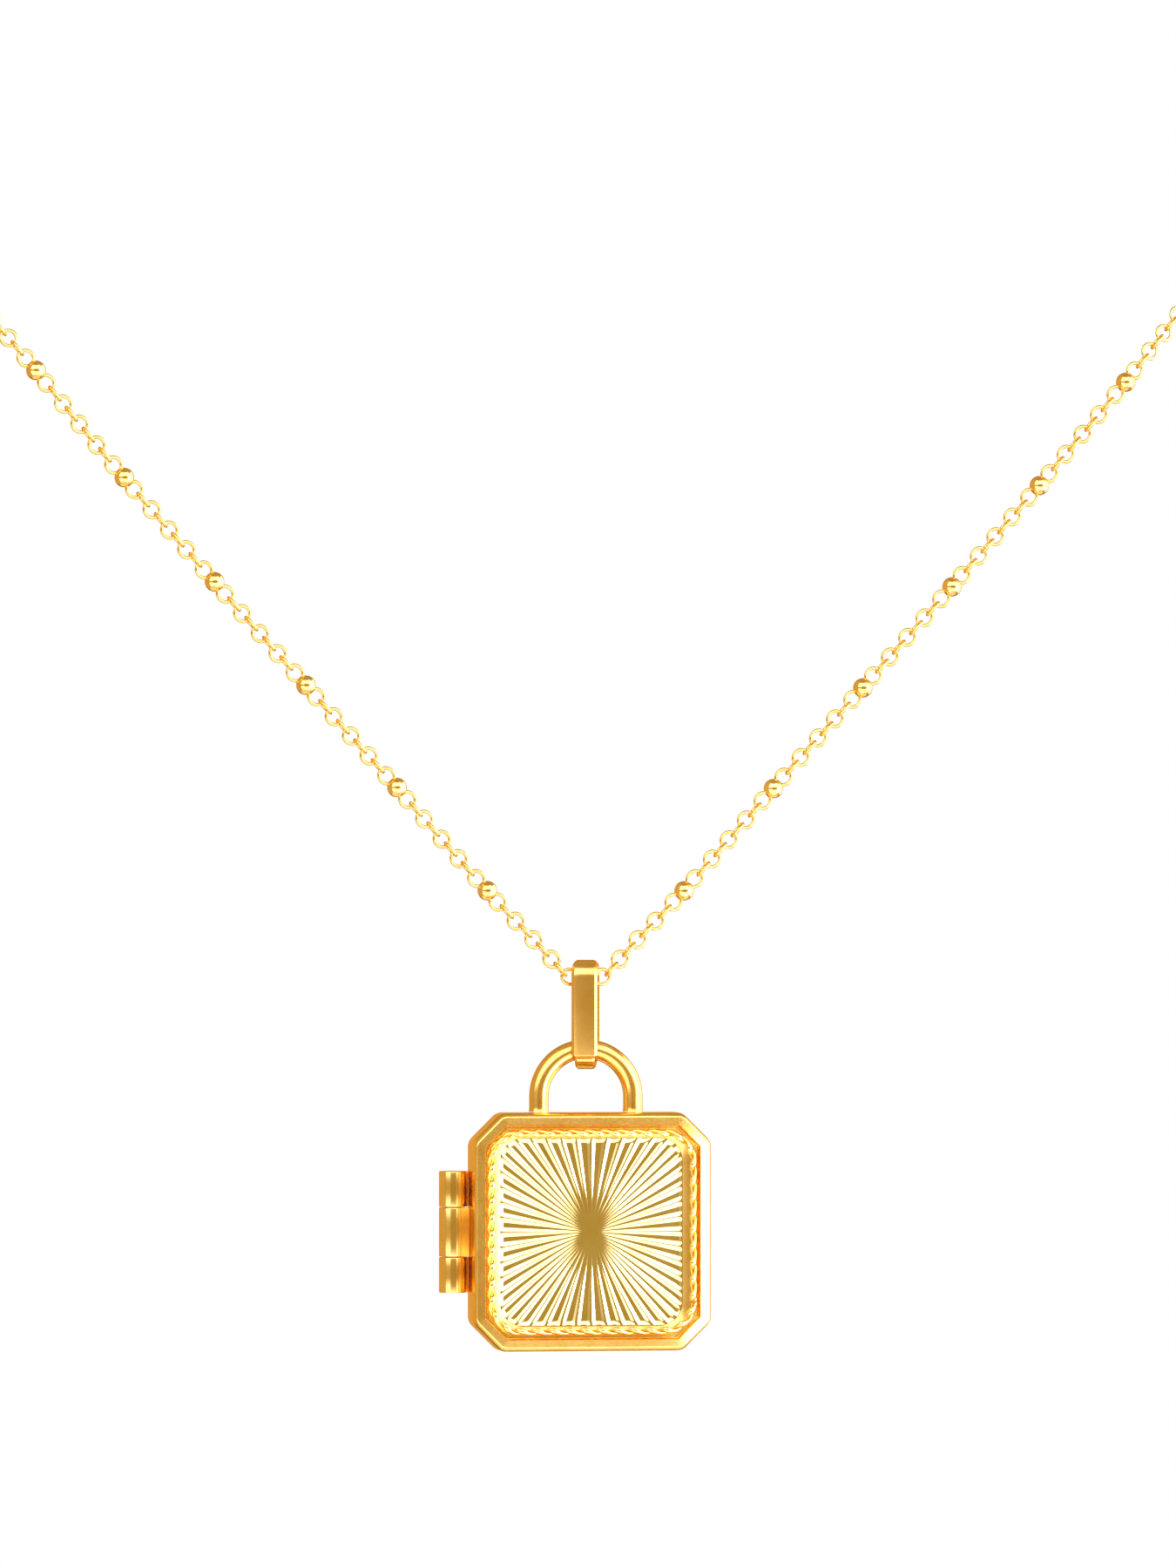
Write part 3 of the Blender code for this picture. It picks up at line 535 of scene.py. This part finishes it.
def rope():
    """Two strands twisted round each other along the seat, each swelling to the front and inside."""
    width = ROPE_HIGH.x - ROPE_LOW.x - ROPE_DIAMETER
    height = ROPE_HIGH.z - ROPE_LOW.z - ROPE_DIAMETER
    y = (ROPE_LOW.y + ROPE_HIGH.y) / 2
    w, h = width / 2 - ROPE_CORNER, height / 2 - ROPE_CORNER
    bend = ROPE_CORNER * math.pi / 2
    total = 4 * (w + h) + 4 * bend
    turns = round(total / ROPE_TURN)
    stations = turns * ROPE_STATIONS
    runs = [(2 * h, (w + ROPE_CORNER, -h), 90), (2 * w, (w, h + ROPE_CORNER), 180),
            (2 * h, (-w - ROPE_CORNER, h), 270), (2 * w, (-w, -h - ROPE_CORNER), 0)]
    corners = [(w, h), (-w, h), (-w, -h), (w, -h)]

    def at(s):
        """The rope's middle, and the direction that points outwards, at this distance along it."""
        for k, (length, start, heading) in enumerate(runs):
            way = math.radians(heading)
            if s <= length:
                flat = Vector((start[0] + s * math.cos(way), 0, start[1] + s * math.sin(way)))
                return flat, way - math.pi / 2
            s -= length
            if s <= bend:
                out = way - math.pi / 2 + s / ROPE_CORNER
                x, z = corners[k]
                return Vector((x + ROPE_CORNER * math.cos(out), 0, z + ROPE_CORNER * math.sin(out))), out
            s -= bend
        return at(0.0)

    bm = bmesh.new()
    for strand in (0, 1):
        path, radii = [], []
        for i in range(stations):
            flat, out = at(total * i / stations)
            turn = 2 * math.pi * turns * i / stations + math.pi * strand
            side = Vector((math.cos(out), 0, math.sin(out)))
            offset = ROPE_STRAND * (math.cos(turn) * side + math.sin(turn) * Vector((0, 1, 0)))
            path.append(Vector((LOCKET.x, y, LOCKET.z)) + flat + offset)
            fat = ((1 + math.cos(turn - ROPE_LEAN)) / 2) ** ROPE_LUMP
            radii.append(ROPE_REAR + (ROPE_FRONT - ROPE_REAR) * fat)
        join(bm, loft(swept(path, radii, ROPE_SIDES, closed=True), closed=True))
    piece("rope_twist", bm, "rope", "lid", ("rope_trim",), sharp=80)


def case_shell():
    """The rear half: an open tray with a softly bevelled back."""
    low, high = CASE_LOW.y - LOCKET.y, CASE_HIGH.y - LOCKET.y
    rings = [
        octagon(WALL, high - FLOOR),
        octagon(WALL, low),
        octagon(0.0, low),
        octagon(0.0, high - BACK_FALL),
        octagon(BACK_BEVEL * BACK_BEND, high - BACK_FALL * BACK_BEND),
        octagon(BACK_BEVEL, high),
    ]
    piece("case_shell", loft(rings), "case", "case", ("case_back",), CASE_ROUNDING, 25)


def knuckle(node, body, side):
    """A hinge knuckle with rounded ends, its bore, and the leaf that joins the wall."""
    low, high = (Vector(p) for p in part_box(node))
    axis = Vector(((PIN_LOW.x + PIN_HIGH.x) / 2, (PIN_LOW.y + PIN_HIGH.y) / 2, 0))
    reach = high.x - axis.x
    hole = (PIN_HIGH.x - PIN_LOW.x) / 2 + PIN_FIT
    outer, bore = [], []
    for k in range(ROUND_STEPS):
        turn = 2 * math.pi * (k + 0.5) / ROUND_STEPS
        x, y = BARREL_RADIUS * math.cos(turn), BARREL_RADIUS * math.sin(turn)
        if x > 0 and LEAF_NEAR < y * side < LEAF_FAR:
            x = reach
        outer.append((x, y))
        bore.append((hole * math.cos(turn), hole * math.sin(turn)))
    rings = [[(axis.x + x, axis.y + y, z) for x, y in loop] for loop, z in
             ((outer, low.z), (outer, high.z), (bore, high.z), (bore, low.z))]
    bm = loft(rings, closed=True)
    piece(node + "_barrel", bm, "case", body, (node,), KNUCKLE_ROUNDING, 50)


def hinge_pin():
    """The pin with its two domed ends."""
    axis = (PIN_LOW + PIN_HIGH) / 2
    radius = (PIN_HIGH.x - PIN_LOW.x) / 2
    half = (PIN_HIGH.z - PIN_LOW.z) / 2
    heights, radii = [], []
    for k in range(DOME_STEPS + 1):
        t = math.pi / 2 * k / DOME_STEPS
        heights.append(-half + PIN_DOME * (1 - math.cos(t)))
        radii.append(radius * max(PIN_TIP, math.sin(t)))
    path = [axis + Vector((0, 0, z)) for z in heights + [-z for z in reversed(heights)]]
    bm = loft(swept(path, radii + radii[::-1], WIRE_SIDES))
    piece("hinge_pin_domed", bm, "retainer", "case", ("hinge_pin",))


def shackle():
    """The round wire arch, flared where it is soldered to the case."""
    radius = (SHACKLE_HIGH.x - SHACKLE_LOW.x - SHACKLE_WIRE) / 2
    y = (SHACKLE_LOW.y + SHACKLE_HIGH.y) / 2
    top = SHACKLE_HIGH.z - SHACKLE_WIRE / 2 - radius
    leg = top - SHACKLE_LOW.z
    path, radii = [], []
    for k in range(LEG_STEPS + 1):
        z = SHACKLE_LOW.z + leg * k / LEG_STEPS
        flare = WELD_FLARE * max(0.0, 1 - (z - SHACKLE_LOW.z) / WELD_HEIGHT) ** 2
        path.append(Vector((APEX.x + radius, y, z)))
        radii.append(SHACKLE_WIRE / 2 + flare)
    turns = [math.pi * k / ARCH_STEPS for k in range(1, ARCH_STEPS)]
    arch = [Vector((APEX.x + radius * math.cos(t), y, top + radius * math.sin(t))) for t in turns]
    mirrored = [Vector((2 * APEX.x - p.x, p.y, p.z)) for p in reversed(path)]
    radii = radii + [SHACKLE_WIRE / 2] * len(arch) + radii[::-1]
    bm = loft(swept(path + arch + mirrored, radii, WIRE_SIDES))
    # Its gold is the darker copy with painted shade, as on the bail.
    piece("shackle_arch", bm, "bail", "case", ("shackle",))


def bail_section(y, z, out_y, out_z, half, strap):
    """The strap's outline at (y, z) from the chain, its outside facing (out_y, out_z)."""
    bevel, fall = BAIL_BEVEL * half, BAIL_BEVEL_FALL * strap
    shape = ((-half, 0.0), (half, 0.0), (half, strap - fall), (half - bevel, strap),
             (bevel - half, strap), (-half, strap - fall))
    return [APEX + Vector((x, y + out_y * t, z + out_z * t)) for x, t in shape]


def bail():
    """The strap loop: a wide front leaf with bevelled edges, and its tail's narrower lip below the leaf."""
    r, bend = BAIL_INNER_RADIUS, BAIL_TOP_RADIUS
    top = BAIL_TOP - APEX.z - BAIL_STRAP - bend
    thin = BAIL_STRAP - BAIL_LIP_STEP
    low = r - BAIL_DROP
    wide, narrow = BAIL_WIDTH / 2, BAIL_LIP_WIDTH / 2
    rings = []
    for side, first in ((1, 0), (-1, BAIL_STEPS)):
        for k in range(first, first + BAIL_STEPS + 1):
            turn = math.pi / 2 * k / BAIL_STEPS
            y, z = math.cos(turn), math.sin(turn)
            half = wide * (1 - BAIL_CROWN * z ** 4)
            rings.append(bail_section(side * (r - bend) + bend * y, top + bend * z, y, z, half, BAIL_STRAP))
    end = -BAIL_LEAF_END
    for z in (top - BAIL_EDGE, end):
        rings.append(bail_section(-r, z, -1, 0, wide, BAIL_STRAP))
    drop = math.sqrt(r * r - (end - low) ** 2) if end < low else r
    lean = (end - low) / r
    rings.append(bail_section(-drop, end, -drop / r, lean, narrow, thin))
    start = math.atan2(end - low, -drop) % (2 * math.pi)
    for k in range(1, BAIL_LOW_STEPS + 1):
        turn = start + (2 * math.pi - start) * k / BAIL_LOW_STEPS
        y, z = math.cos(turn), math.sin(turn)
        grow = max(0.0, 2 * k / BAIL_LOW_STEPS - 1)
        half = narrow + (wide - narrow) * grow
        strap = thin + BAIL_LIP_STEP * grow + BAIL_LIP_BULGE * z * z * (1 - grow)
        rings.append(bail_section(r * y, low + r * z, y, z, half, strap))
    for z in (low + BAIL_EDGE, top - BAIL_EDGE):
        rings.append(bail_section(r, z, 1, 0, wide, BAIL_STRAP))
    turn = Matrix.Rotation(BAIL_YAW, 3, "Z")
    rings = [[APEX + turn @ (p - APEX) for p in ring] for ring in rings]
    piece("bail_strap", loft(rings, closed=True), "bail", "bail", ("bail",), BAIL_ROUNDING, 24)


# ---------------------------------------------------------------- chain


def smooth_line(route, spacing):
    """Points every spacing along a smooth curve through the route's points."""
    points = [APEX + Vector(p) for p in route]
    chain = [2 * points[0] - points[1], *points, 2 * points[-1] - points[-2]]
    fine = []
    for a, b, c, d in zip(chain, chain[1:], chain[2:], chain[3:]):
        for k in range(CURVE_STEPS):
            t = k / CURVE_STEPS
            fine.append(0.5 * (2 * b + (c - a) * t + (2 * a - 5 * b + 4 * c - d) * t * t
                               + (3 * b - a - 3 * c + d) * t * t * t))
    fine.append(points[-1])
    found, along, i = [fine[0]], 0.0, 0
    want = spacing
    while i < len(fine) - 1:
        step = (fine[i + 1] - fine[i]).length
        if along + step >= want:
            found.append(fine[i].lerp(fine[i + 1], (want - along) / step))
            want += spacing
        else:
            along += step
            i += 1
    return found


def link_ring(major=20, minor=8):
    """One chain link about the origin: its long way along X, its plane facing Y."""
    bm = bmesh.new()
    loops = []
    a, b = (LINK_LONG - LINK_WIRE) / 2, (LINK_WIDE - LINK_WIRE) / 2
    for k in range(major):
        t = 2 * math.pi * k / major
        centre = Vector((a * math.cos(t), 0, b * math.sin(t)))
        out = Vector((math.cos(t) / a, 0, math.sin(t) / b)).normalized()
        loops.append([centre + LINK_WIRE / 2 * (math.cos(u) * out + math.sin(u) * Vector((0, 1, 0)))
                      for u in (2 * math.pi * m / minor for m in range(minor))])
    rows = [[bm.verts.new(p) for p in loop] for loop in loops]
    for k in range(major):
        for m in range(minor):
            n = (m + 1) % minor
            bm.faces.new((rows[k - 1][m], rows[k - 1][n], rows[k][n], rows[k][m]))
    bmesh.ops.recalc_face_normals(bm, faces=bm.faces)
    return as_mesh(bm)


def as_mesh(bm):
    """A mesh datablock from bm, which it frees."""
    mesh = bpy.data.meshes.new("unit")
    bm.to_mesh(mesh)
    bm.free()
    return mesh


def bead_ball():
    """A polished bead about the origin."""
    bm = bmesh.new()
    bmesh.ops.create_uvsphere(bm, u_segments=24, v_segments=16, radius=BEAD_DIAMETER / 2)
    return as_mesh(bm)


def place_on(bm, unit, point, way, face):
    """Adds a unit mesh to bm at a point, its X along the chain and its Y along face."""
    way = way.normalized()
    face = (face - way * face.dot(way)).normalized()
    up = way.cross(face)
    matrix = Matrix((way, face, up)).transposed().to_4x4()
    matrix.translation = point
    first = len(bm.verts)
    bm.from_mesh(unit)
    bm.verts.ensure_lookup_table()
    bmesh.ops.transform(bm, matrix=matrix, verts=bm.verts[first:])


def chain_places(total):
    """(distance, kind) of each link and bead from the bail outwards; kind is face, edge or bead."""
    places, s, k = [], BEAD_PITCH, 1
    while s < total:
        if k % LINKS_PER_BEAD == 0:
            kind = "bead"
        else:
            kind = "face" if k % 2 else "edge"
        places.append((s, kind))
        beside = k % LINKS_PER_BEAD == 0 or (k + 1) % LINKS_PER_BEAD == 0
        s += BEAD_PITCH if beside else LINK_PITCH
        k += 1
    return places


def chain_piece(node, bm):
    """A stretch of links and beads in place of one of the plain cords."""
    return piece(node + "_links", bm, "chain", "chain", (node,), sharp=80)


def chain():
    """Real links and beads in place of the plain cords."""
    ring, ball = link_ring(), bead_ball()
    first = bmesh.new()
    place_on(first, ring, APEX, Vector((1, 0, 0)), Vector((0, 0, 1)))
    piece("bail_link_ring", first, "chain", "chain", ("bail_link",))
    for name, side in (("left", -1), ("right", 1)):
        end_low, end_high = (Vector(p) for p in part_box(f"chain_neck_{name}"))
        nape_x = -end_high.x if side < 0 else end_low.x
        nape_z = 0.0 if side < 0 else NAPE_DROP
        nape = Vector((nape_x, 0.0, nape_z)) - APEX
        route = [*APEX_ROUTE, *ARM_ROUTE, *NECK_ROUTE, tuple(nape)]
        line = smooth_line(route, LINE_STEP)
        total = LINE_STEP * (len(line) - 1)
        face = Vector((0, -1, 0))
        arm, neck = bmesh.new(), bmesh.new()
        at = 0
        for s, kind in chain_places(total - LINK_LONG / 2):
            index = min(int(round(s / LINE_STEP)), len(line) - 2)
            while at < index:
                way = (line[at + 1] - line[at]).normalized()
                face = (face - way * face.dot(way)).normalized()
                at += 1
            point, way = line[index].copy(), line[index + 1] - line[index]
            normal = face if kind != "edge" else face.cross(way.normalized())
            if side < 0:
                point.x, way.x, normal = 2 * APEX.x - point.x, -way.x, Vector((-normal.x, normal.y, normal.z))
            place_on(arm if s < ARM_LENGTH else neck, ball if kind == "bead" else ring, point, way, normal)
        made = chain_piece(f"chain_arm_{name}", arm)
        chain_piece(f"chain_neck_{name}", neck)


# ---------------------------------------------------------------- clasp and inner pieces


def small_pieces():
    """The CAD shapes that stay, with rounded edges and finished surfaces."""
    softened("clasp_body", "clasp", "chain", CLASP_ROUNDING)
    softened("clasp_lever", "clasp", "clasp_lever", LEVER_ROUNDING)
    softened("case_snap_rim", "retainer", "case", RIM_ROUNDING)
    softened("case_photo_frame", "retainer", "case", RIM_ROUNDING)
    softened("lid_photo_frame", "retainer", "lid", RIM_ROUNDING)
    for node, wire in RING_WIRES.items():
        low, high = (Vector(p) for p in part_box(node))
        middle, radius = (low + high) / 2, (high.x - low.x - wire) / 2
        turns = [2 * math.pi * k / ROUND_STEPS for k in range(ROUND_STEPS)]
        path = [middle + radius * Vector((math.cos(t), math.sin(t), 0)) for t in turns]
        bm = loft(swept(path, wire / 2, RING_SIDES, closed=True), closed=True)
        piece(node + "_wire", bm, "clasp", "chain", (node,))
    for node, material in BARE_NODES.items():
        slots = frame["nodes"][node].data.materials
        slots.clear()
        slots.append(MATERIALS[material])


# ---------------------------------------------------------------- camera, floor and light


def camera():
    """Looks level along the locket's front, turned by VIEW_AZIMUTH."""
    back = Vector((math.sin(VIEW_AZIMUTH), -math.cos(VIEW_AZIMUTH), 0.0))
    data = bpy.data.cameras.new("camera")
    data.lens = SENSOR * VIEW_DISTANCE / VIEW_HEIGHT
    data.sensor_width = SENSOR
    data.shift_x, data.shift_y = VIEW_SIDE, VIEW_SHIFT
    data.clip_start, data.clip_end = CLIP
    made = bpy.data.objects.new("camera", data)
    bpy.context.collection.objects.link(made)
    made.location = APEX + back * VIEW_DISTANCE + Vector((0, 0, VIEW_RISE))
    made.rotation_euler = (math.pi / 2, 0.0, VIEW_AZIMUTH)
    bpy.context.scene.camera = made


def floor():
    """A pale disc well below the necklace."""
    bm = bmesh.new()
    bmesh.ops.create_circle(bm, cap_ends=True, segments=FLOOR_SIDES, radius=FLOOR_RADIUS)
    mesh = as_mesh(bm)
    mesh.name = "floor"
    made = bpy.data.objects.new("floor", mesh)
    bpy.context.collection.objects.link(made)
    made.location = (APEX.x, APEX.y + FLOOR_BACK, APEX.z - FLOOR_DROP)
    material = bpy.data.materials.new("floor_pale")
    material.use_nodes = True
    shader = material.node_tree.nodes["Principled BSDF"]
    shader.inputs["Base Color"].default_value = (*FLOOR_TINT, 1.0)
    shader.inputs["Roughness"].default_value = FLOOR_ROUGHNESS
    mesh.materials.append(material)


def world():
    """A white studio: the camera sees plain white, the metal sees dark and bright zones round it."""
    made = bpy.data.worlds.new("studio")
    bpy.context.scene.world = made
    made.use_nodes = True
    tree = made.node_tree
    tree.nodes.clear()
    make = node_maker(tree)
    place = make("ShaderNodeTexCoord")
    parts = make("ShaderNodeSeparateXYZ")
    tree.links.new(place.outputs["Generated"], parts.inputs[0])

    def maths(operation, *values):
        """A maths node's output; the values are numbers or sockets."""
        node = make("ShaderNodeMath", operation=operation)
        for k, value in enumerate(values):
            if isinstance(value, (int, float)):
                node.inputs[k].default_value = value
            else:
                tree.links.new(value, node.inputs[k])
        return node.outputs[0]

    def window(value, half, edge):
        """One inside half, nought outside it, with a soft edge between."""
        node = make("ShaderNodeMapRange", interpolation_type="SMOOTHSTEP")
        tree.links.new(value, node.inputs["Value"])
        for name, number in (("From Min", half - edge / 2), ("From Max", half + edge / 2),
                             ("To Min", 1.0), ("To Max", 0.0)):
            node.inputs[name].default_value = number
        return node.outputs["Result"]

    x, y, z = parts.outputs
    azimuth = maths("ARCTAN2", x, maths("MULTIPLY", y, -1.0))
    elevation = maths("ARCSINE", z)
    light = None
    for *angles, strength, colour in ZONES:
        around, half_around, up, half_up, edge = map(math.radians, angles)
        turned = maths("SUBTRACT", azimuth, around)
        off = maths("ABSOLUTE", maths("WRAP", turned, math.pi, -math.pi))
        weight = maths("MULTIPLY", window(off, half_around, edge),
                       window(maths("ABSOLUTE", maths("SUBTRACT", elevation, up)), half_up, edge))
        mix = make("ShaderNodeMix", data_type="RGBA")
        tree.links.new(weight, mix.inputs["Factor"])
        if light is None:
            mix.inputs[6].default_value = (*AMBIENT, 1.0)
        else:
            tree.links.new(light, mix.inputs[6])
        mix.inputs[7].default_value = (*(strength * c for c in colour), 1.0)
        light = mix.outputs[2]

    seen = make("ShaderNodeLightPath")
    plain = make("ShaderNodeBackground")
    plain.inputs["Color"].default_value = (1, 1, 1, 1)
    studio = make("ShaderNodeBackground")
    tree.links.new(light, studio.inputs["Color"])
    mix = make("ShaderNodeMixShader")
    tree.links.new(seen.outputs["Is Camera Ray"], mix.inputs[0])
    tree.links.new(studio.outputs[0], mix.inputs[1])
    tree.links.new(plain.outputs[0], mix.inputs[2])
    out = make("ShaderNodeOutputWorld")
    tree.links.new(mix.outputs[0], out.inputs["Surface"])


def near_card():
    """A small soft box in front of the locket and just past its right edge, to whiten the border there."""
    data = bpy.data.lights.new("card", "AREA")
    data.shape = "RECTANGLE"
    data.size, data.size_y = CARD_SIZE
    data.energy = CARD_WATTS
    data.color = CARD_TINT
    made = bpy.data.objects.new("card", data)
    bpy.context.collection.objects.link(made)
    made.location = LOCKET + Vector(CARD_PLACE)
    made.rotation_euler = (math.pi / 2, 0.0, 0.0)
    made.visible_camera = False


def main():
    scene = bpy.context.scene
    scene.view_settings.view_transform = "Standard"
    camera()
    floor()
    world()
    near_card()
    chain()
    lid_border()
    sunburst()
    rope()
    case_shell()
    knuckle("hinge_knuckle_top", "case", 1)
    knuckle("hinge_knuckle_middle", "lid", -1)
    knuckle("hinge_knuckle_bottom", "case", 1)
    hinge_pin()
    shackle()
    bail()
    small_pieces()


main()
